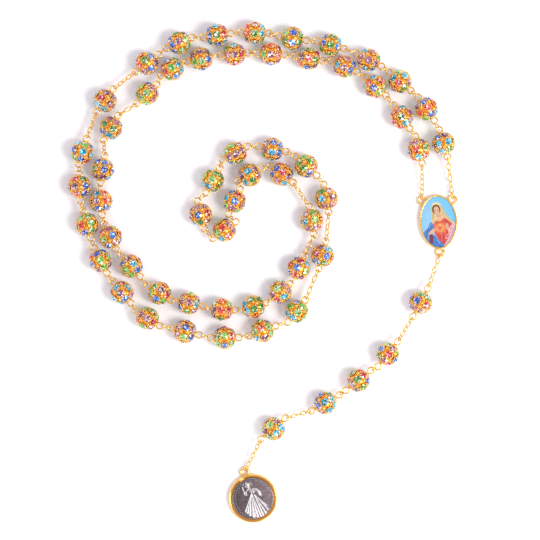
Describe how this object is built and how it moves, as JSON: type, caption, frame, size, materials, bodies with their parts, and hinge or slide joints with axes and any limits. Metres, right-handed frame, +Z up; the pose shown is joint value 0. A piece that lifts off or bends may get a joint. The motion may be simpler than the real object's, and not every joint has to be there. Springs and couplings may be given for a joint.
{
  "type": "rosary",
  "caption": "Rosary lying flat: rhinestone-paved gold beads on linked eye pins and cable chain, with an oval picture medal joining the loop and a round relief medal ending the pendant tail.",
  "frame": {"origin": "centre of the bounding box in plan, on the surface that the rosary lies on", "axes": "+Z up from the surface, +Y from the pendant end towards the loop's far side"},
  "size_m": [0.1304, 0.1678, 0.008],
  "materials": {
    "paved_gold": "gold-plated bead paved with mixed coloured rhinestones",
    "gold": "bright gold plate",
    "enamel_picture": "printed picture, glossy",
    "clear_resin": "clear domed resin",
    "antiqued_silver": "antiqued silver relief"
  },
  "bodies": {
    "centre_medal": {"centre_medal_frame": "gold", "centre_medal_picture": "enamel_picture", "centre_medal_dome": "clear_resin"},
    "chain_centre_medal_right_to_decade_1": {"chain_centre_medal_right_to_decade_1": "gold"},
    "decade_1_beads_1_2": {"decade_1_beads_1_2": "paved_gold"},
    "decade_1_beads_3_4": {"decade_1_beads_3_4": "paved_gold"},
    "decade_1_beads_5_6": {"decade_1_beads_5_6": "paved_gold"},
    "decade_1_beads_7_8": {"decade_1_beads_7_8": "paved_gold"},
    "decade_1_beads_9_10": {"decade_1_beads_9_10": "paved_gold"},
    "chain_decade_1_to_our_father_1": {"chain_decade_1_to_our_father_1": "gold"},
    "our_father_bead_1": {"our_father_bead_1": "paved_gold"},
    "chain_our_father_1_to_decade_2": {"chain_our_father_1_to_decade_2": "gold"},
    "decade_2_beads_1_2": {"decade_2_beads_1_2": "paved_gold"},
    "decade_2_beads_3_4": {"decade_2_beads_3_4": "paved_gold"},
    "decade_2_beads_5_6": {"decade_2_beads_5_6": "paved_gold"},
    "decade_2_beads_7_8": {"decade_2_beads_7_8": "paved_gold"},
    "decade_2_beads_9_10": {"decade_2_beads_9_10": "paved_gold"},
    "chain_decade_2_to_our_father_2": {"chain_decade_2_to_our_father_2": "gold"},
    "our_father_bead_2": {"our_father_bead_2": "paved_gold"},
    "chain_our_father_2_to_decade_3": {"chain_our_father_2_to_decade_3": "gold"},
    "decade_3_beads_1_2": {"decade_3_beads_1_2": "paved_gold"},
    "decade_3_beads_3_4": {"decade_3_beads_3_4": "paved_gold"},
    "decade_3_beads_5_6": {"decade_3_beads_5_6": "paved_gold"},
    "decade_3_beads_7_8": {"decade_3_beads_7_8": "paved_gold"},
    "decade_3_beads_9_10": {"decade_3_beads_9_10": "paved_gold"},
    "chain_centre_medal_left_to_decade_5": {"chain_centre_medal_left_to_decade_5": "gold"},
    "decade_5_beads_1_2": {"decade_5_beads_1_2": "paved_gold"},
    "decade_5_beads_3_4": {"decade_5_beads_3_4": "paved_gold"},
    "decade_5_beads_5_6": {"decade_5_beads_5_6": "paved_gold"},
    "decade_5_beads_7_8": {"decade_5_beads_7_8": "paved_gold"},
    "decade_5_beads_9_10": {"decade_5_beads_9_10": "paved_gold"},
    "chain_decade_5_to_our_father_4": {"chain_decade_5_to_our_father_4": "gold"},
    "our_father_bead_4": {"our_father_bead_4": "paved_gold"},
    "chain_our_father_4_to_decade_4": {"chain_our_father_4_to_decade_4": "gold"},
    "decade_4_beads_1_2": {"decade_4_beads_1_2": "paved_gold"},
    "decade_4_beads_3_4": {"decade_4_beads_3_4": "paved_gold"},
    "decade_4_beads_5_6": {"decade_4_beads_5_6": "paved_gold"},
    "decade_4_beads_7_8": {"decade_4_beads_7_8": "paved_gold"},
    "decade_4_beads_9_10": {"decade_4_beads_9_10": "paved_gold"},
    "chain_decade_4_to_our_father_3": {"chain_decade_4_to_our_father_3": "gold"},
    "our_father_bead_3": {"our_father_bead_3": "paved_gold"},
    "chain_our_father_3_to_decade_3": {"chain_our_father_3_to_decade_3": "gold"},
    "chain_centre_medal_to_tail_bead_1": {"chain_centre_medal_to_tail_bead_1": "gold"},
    "tail_bead_1_pin": {"tail_bead_1_pin": "gold"},
    "chain_tail_bead_1_to_tail_bead_2": {"chain_tail_bead_1_to_tail_bead_2": "gold"},
    "tail_bead_2_pin": {"tail_bead_2_pin": "gold"},
    "tail_bead_3_pin": {"tail_bead_3_pin": "gold"},
    "tail_bead_4_pin": {"tail_bead_4_pin": "gold"},
    "chain_tail_bead_4_to_tail_bead_5": {"chain_tail_bead_4_to_tail_bead_5": "gold"},
    "tail_bead_5_pin": {"tail_bead_5_pin": "gold"},
    "chain_tail_bead_5_to_round_medal": {"chain_tail_bead_5_to_round_medal": "gold"},
    "round_medal": {"round_medal_bezel": "gold", "round_medal_relief": "antiqued_silver"},
    "tail_bead_1": {"tail_bead_1": "paved_gold"},
    "tail_bead_2": {"tail_bead_2": "paved_gold"},
    "tail_bead_3": {"tail_bead_3": "paved_gold"},
    "tail_bead_4": {"tail_bead_4": "paved_gold"},
    "tail_bead_5": {"tail_bead_5": "paved_gold"}
  },
  "joints": [
    {"name": "chain_centre_medal_to_tail_bead_1_lift", "type": "hinge", "parent": "centre_medal", "child": "chain_centre_medal_to_tail_bead_1", "pos_m": [0.05851, 0.00558, 0.00129], "axis": [-0.9369, 0.3496, 0], "range_deg": [-30, 30]},
    {"name": "tail_bead_1_pin_swing", "type": "hinge", "parent": "chain_centre_medal_to_tail_bead_1", "child": "tail_bead_1_pin", "pos_m": [0.05463, -0.00483, 0.00393], "axis": [0, 0, 1], "range_deg": [-10, 30]},
    {"name": "chain_tail_bead_1_to_tail_bead_2_lift", "type": "hinge", "parent": "tail_bead_1_pin", "child": "chain_tail_bead_1_to_tail_bead_2", "pos_m": [0.0489, -0.01563, 0.004], "axis": [-0.8529, 0.522, 0], "range_deg": [-30, 30]},
    {"name": "tail_bead_2_pin_swing", "type": "hinge", "parent": "chain_tail_bead_1_to_tail_bead_2", "child": "tail_bead_2_pin", "pos_m": [0.04463, -0.0226, 0.004], "axis": [0, 0, 1], "range_deg": [-10, 30]},
    {"name": "tail_bead_3_pin_swing", "type": "hinge", "parent": "tail_bead_2_pin", "child": "tail_bead_3_pin", "pos_m": [0.03583, -0.03241, 0.004], "axis": [0, 0, 1], "range_deg": [-10, 30]},
    {"name": "tail_bead_4_pin_swing", "type": "hinge", "parent": "tail_bead_3_pin", "child": "tail_bead_4_pin", "pos_m": [0.02526, -0.04055, 0.004], "axis": [0, 0, 1], "range_deg": [-10, 30]},
    {"name": "chain_tail_bead_4_to_tail_bead_5_lift", "type": "hinge", "parent": "tail_bead_4_pin", "child": "chain_tail_bead_4_to_tail_bead_5", "pos_m": [0.01452, -0.04636, 0.004], "axis": [-0.2693, 0.9631, 0], "range_deg": [-30, 30]},
    {"name": "tail_bead_5_pin_swing", "type": "hinge", "parent": "chain_tail_bead_4_to_tail_bead_5", "child": "tail_bead_5_pin", "pos_m": [0.0073, -0.04839, 0.004], "axis": [0, 0, 1], "range_deg": [-10, 30]},
    {"name": "chain_tail_bead_5_to_round_medal_lift", "type": "hinge", "parent": "tail_bead_5_pin", "child": "chain_tail_bead_5_to_round_medal", "pos_m": [-0.00167, -0.0565, 0.00374], "axis": [-0.8968, 0.4424, 0], "range_deg": [-30, 30]},
    {"name": "round_medal_swing", "type": "hinge", "parent": "chain_tail_bead_5_to_round_medal", "child": "round_medal", "pos_m": [-0.00652, -0.06634, 0.0011], "axis": [0, 0, 1], "range_deg": [-10, 30]},
    {"name": "tail_bead_1_spin", "type": "hinge", "parent": "tail_bead_1_pin", "child": "tail_bead_1", "pos_m": [0.052, -0.0099, 0.004], "axis": [-0.4664, -0.8845, 0], "continuous": true},
    {"name": "tail_bead_2_spin", "type": "hinge", "parent": "tail_bead_2_pin", "child": "tail_bead_2", "pos_m": [0.0411, -0.0271, 0.004], "axis": [-0.6229, -0.7823, 0], "continuous": true},
    {"name": "tail_bead_3_spin", "type": "hinge", "parent": "tail_bead_3_pin", "child": "tail_bead_3", "pos_m": [0.0313, -0.0359, 0.004], "axis": [-0.7871, -0.6168, 0], "continuous": true},
    {"name": "tail_bead_4_spin", "type": "hinge", "parent": "tail_bead_4_pin", "child": "tail_bead_4", "pos_m": [0.0203, -0.0434, 0.004], "axis": [-0.8699, -0.4932, 0], "continuous": true},
    {"name": "tail_bead_5_spin", "type": "hinge", "parent": "tail_bead_5_pin", "child": "tail_bead_5", "pos_m": [0.0029, -0.052, 0.004], "axis": [-0.7571, -0.6533, 0], "continuous": true},
    {"name": "chain_centre_medal_right_to_decade_1_lift", "type": "hinge", "parent": "centre_medal", "child": "chain_centre_medal_right_to_decade_1", "pos_m": [0.06291, 0.02564, 0.00126], "axis": [0.9889, 0.1483, 0], "range_deg": [-20, 30]},
    {"name": "decade_1_beads_1_2_lift", "type": "hinge", "parent": "chain_centre_medal_right_to_decade_1", "child": "decade_1_beads_1_2", "pos_m": [0.06113, 0.03752, 0.00377], "axis": [0.9889, 0.1483, 0], "range_deg": [-30, 30]},
    {"name": "decade_1_beads_3_4_lift", "type": "hinge", "parent": "decade_1_beads_1_2", "child": "decade_1_beads_3_4", "pos_m": [0.04959, 0.05998, 0.004], "axis": [0.6812, 0.7321, 0], "range_deg": [-30, 30]},
    {"name": "decade_1_beads_5_6_lift", "type": "hinge", "parent": "decade_1_beads_3_4", "child": "decade_1_beads_5_6", "pos_m": [0.02757, 0.07433, 0.004], "axis": [0.3494, 0.937, 0], "range_deg": [-30, 30]},
    {"name": "decade_1_beads_7_8_lift", "type": "hinge", "parent": "decade_1_beads_5_6", "child": "decade_1_beads_7_8", "pos_m": [0.00248, 0.07952, 0.004], "axis": [0.2604, 0.9655, 0], "range_deg": [-30, 30]},
    {"name": "decade_1_beads_9_10_lift", "type": "hinge", "parent": "decade_1_beads_7_8", "child": "decade_1_beads_9_10", "pos_m": [-0.02292, 0.07842, 0.004], "axis": [-0.0651, 0.9979, 0], "range_deg": [-30, 30]},
    {"name": "chain_decade_1_to_our_father_1_lift", "type": "hinge", "parent": "decade_1_beads_9_10", "child": "chain_decade_1_to_our_father_1", "pos_m": [-0.0438, 0.06634, 0.004], "axis": [-0.6114, 0.7913, 0], "range_deg": [-30, 30]},
    {"name": "our_father_bead_1_lift", "type": "hinge", "parent": "chain_decade_1_to_our_father_1", "child": "our_father_bead_1", "pos_m": [-0.04956, 0.06189, 0.004], "axis": [-0.6114, 0.7913, 0], "range_deg": [-30, 30]},
    {"name": "chain_our_father_1_to_decade_2_lift", "type": "hinge", "parent": "our_father_bead_1", "child": "chain_our_father_1_to_decade_2", "pos_m": [-0.05636, 0.05255, 0.004], "axis": [0.9336, -0.3582, 0], "range_deg": [-30, 30]},
    {"name": "decade_2_beads_1_2_lift", "type": "hinge", "parent": "chain_our_father_1_to_decade_2", "child": "decade_2_beads_1_2", "pos_m": [-0.05896, 0.04575, 0.004], "axis": [0.9336, -0.3582, 0], "range_deg": [-30, 30]},
    {"name": "decade_2_beads_3_4_lift", "type": "hinge", "parent": "decade_2_beads_1_2", "child": "decade_2_beads_3_4", "pos_m": [-0.06078, 0.0217, 0.004], "axis": [0.9646, 0.2638, 0], "range_deg": [-30, 30]},
    {"name": "decade_2_beads_5_6_lift", "type": "hinge", "parent": "decade_2_beads_3_4", "child": "decade_2_beads_5_6", "pos_m": [-0.05114, -0.00206, 0.004], "axis": [0.8023, 0.597, 0], "range_deg": [-30, 30]},
    {"name": "decade_2_beads_7_8_lift", "type": "hinge", "parent": "decade_2_beads_5_6", "child": "decade_2_beads_7_8", "pos_m": [-0.03216, -0.01823, 0.004], "axis": [0.1924, 0.9813, 0], "range_deg": [-30, 30]},
    {"name": "decade_2_beads_9_10_lift", "type": "hinge", "parent": "decade_2_beads_7_8", "child": "decade_2_beads_9_10", "pos_m": [-0.00621, -0.02123, 0.004], "axis": [-0.1773, 0.9842, 0], "range_deg": [-30, 30]},
    {"name": "chain_decade_2_to_our_father_2_lift", "type": "hinge", "parent": "decade_2_beads_9_10", "child": "chain_decade_2_to_our_father_2", "pos_m": [0.01407, -0.00809, 0.004], "axis": [-0.918, 0.3966, 0], "range_deg": [-30, 30]},
    {"name": "our_father_bead_2_lift", "type": "hinge", "parent": "chain_decade_2_to_our_father_2", "child": "our_father_bead_2", "pos_m": [0.01766, 0.00023, 0.004], "axis": [-0.918, 0.3966, 0], "range_deg": [-30, 30]},
    {"name": "chain_our_father_2_to_decade_3_lift", "type": "hinge", "parent": "our_father_bead_2", "child": "chain_our_father_2_to_decade_3", "pos_m": [0.0206, 0.01146, 0.004], "axis": [-0.9954, 0.0953, 0], "range_deg": [-30, 30]},
    {"name": "decade_3_beads_1_2_lift", "type": "hinge", "parent": "chain_our_father_2_to_decade_3", "child": "decade_3_beads_1_2", "pos_m": [0.02133, 0.01906, 0.004], "axis": [-0.9954, 0.0953, 0], "range_deg": [-30, 30]},
    {"name": "decade_3_beads_3_4_lift", "type": "hinge", "parent": "decade_3_beads_1_2", "child": "decade_3_beads_3_4", "pos_m": [0.00823, 0.03986, 0.004], "axis": [-0.4461, -0.895, 0], "range_deg": [-30, 30]},
    {"name": "decade_3_beads_5_6_lift", "type": "hinge", "parent": "decade_3_beads_3_4", "child": "decade_3_beads_5_6", "pos_m": [-0.01462, 0.03595, 0.004], "axis": [0.9378, -0.3471, 0], "range_deg": [-30, 30]},
    {"name": "decade_3_beads_7_8_lift", "type": "hinge", "parent": "decade_3_beads_5_6", "child": "decade_3_beads_7_8", "pos_m": [-0.01797, 0.01228, 0.004], "axis": [-0.7357, -0.6773, 0], "range_deg": [-30, 30]},
    {"name": "decade_3_beads_9_10_lift", "type": "hinge", "parent": "decade_3_beads_7_8", "child": "decade_3_beads_9_10", "pos_m": [-0.00854, 0.02934, 0.004], "axis": [0.9771, 0.213, 0], "range_deg": [-30, 30]},
    {"name": "chain_centre_medal_left_to_decade_5_lift", "type": "hinge", "parent": "centre_medal", "child": "chain_centre_medal_left_to_decade_5", "pos_m": [0.05273, 0.02534, 0.0013], "axis": [-0.9999, -0.0158, 0], "range_deg": [-30, 30]},
    {"name": "decade_5_beads_1_2_lift", "type": "hinge", "parent": "chain_centre_medal_left_to_decade_5", "child": "decade_5_beads_1_2", "pos_m": [0.05257, 0.03536, 0.00374], "axis": [0.9999, 0.0158, 0], "range_deg": [-30, 30]},
    {"name": "decade_5_beads_3_4_lift", "type": "hinge", "parent": "decade_5_beads_1_2", "child": "decade_5_beads_3_4", "pos_m": [0.04113, 0.05813, 0.004], "axis": [0.7772, 0.6293, 0], "range_deg": [-30, 30]},
    {"name": "decade_5_beads_5_6_lift", "type": "hinge", "parent": "decade_5_beads_3_4", "child": "decade_5_beads_5_6", "pos_m": [0.02045, 0.07057, 0.004], "axis": [0.0306, 0.9995, 0], "range_deg": [-30, 30]},
    {"name": "decade_5_beads_7_8_lift", "type": "hinge", "parent": "decade_5_beads_5_6", "child": "decade_5_beads_7_8", "pos_m": [-0.00429, 0.07314, 0.004], "axis": [-0.0152, 0.9999, 0], "range_deg": [-30, 30]},
    {"name": "decade_5_beads_9_10_lift", "type": "hinge", "parent": "decade_5_beads_7_8", "child": "decade_5_beads_9_10", "pos_m": [-0.02673, 0.07035, 0.004], "axis": [0.0822, 0.9966, 0], "range_deg": [-30, 30]},
    {"name": "chain_decade_5_to_our_father_4_lift", "type": "hinge", "parent": "decade_5_beads_9_10", "child": "chain_decade_5_to_our_father_4", "pos_m": [-0.04343, 0.05584, 0.004], "axis": [-0.5425, 0.84, 0], "range_deg": [-30, 30]},
    {"name": "our_father_bead_4_lift", "type": "hinge", "parent": "chain_decade_5_to_our_father_4", "child": "our_father_bead_4", "pos_m": [-0.04788, 0.05296, 0.004], "axis": [-0.5425, 0.84, 0], "range_deg": [-30, 30]},
    {"name": "chain_our_father_4_to_decade_4_lift", "type": "hinge", "parent": "our_father_bead_4", "child": "chain_our_father_4_to_decade_4", "pos_m": [-0.05353, 0.04313, 0.004], "axis": [-0.9991, -0.0428, 0], "range_deg": [-30, 30]},
    {"name": "decade_4_beads_1_2_lift", "type": "hinge", "parent": "chain_our_father_4_to_decade_4", "child": "decade_4_beads_1_2", "pos_m": [-0.0534, 0.04007, 0.004], "axis": [-0.9991, -0.0428, 0], "range_deg": [-30, 30]},
    {"name": "decade_4_beads_3_4_lift", "type": "hinge", "parent": "decade_4_beads_1_2", "child": "decade_4_beads_3_4", "pos_m": [-0.05362, 0.01725, 0.004], "axis": [0.9767, 0.2147, 0], "range_deg": [-30, 30]},
    {"name": "decade_4_beads_5_6_lift", "type": "hinge", "parent": "decade_4_beads_3_4", "child": "decade_4_beads_5_6", "pos_m": [-0.03968, -0.00341, 0.004], "axis": [0.7699, 0.6382, 0], "range_deg": [-30, 30]},
    {"name": "decade_4_beads_7_8_lift", "type": "hinge", "parent": "decade_4_beads_5_6", "child": "decade_4_beads_7_8", "pos_m": [-0.01944, -0.01182, 0.004], "axis": [0.4256, 0.9049, 0], "range_deg": [-30, 30]},
    {"name": "decade_4_beads_9_10_lift", "type": "hinge", "parent": "decade_4_beads_7_8", "child": "decade_4_beads_9_10", "pos_m": [0.00156, -0.00944, 0.004], "axis": [-0.5217, 0.8532, 0], "range_deg": [-30, 30]},
    {"name": "chain_decade_4_to_our_father_3_lift", "type": "hinge", "parent": "decade_4_beads_9_10", "child": "chain_decade_4_to_our_father_3", "pos_m": [0.01377, 0.00682, 0.004], "axis": [-0.9067, 0.4218, 0], "range_deg": [-30, 30]},
    {"name": "our_father_bead_3_lift", "type": "hinge", "parent": "chain_decade_4_to_our_father_3", "child": "our_father_bead_3", "pos_m": [0.01607, 0.01176, 0.004], "axis": [-0.9067, 0.4218, 0], "range_deg": [-30, 30]},
    {"name": "chain_our_father_3_to_decade_3_lift", "type": "hinge", "parent": "our_father_bead_3", "child": "chain_our_father_3_to_decade_3", "pos_m": [0.01423, 0.02295, 0.004], "axis": [-0.8301, -0.5576, 0], "range_deg": [-30, 30]}
  ]
}
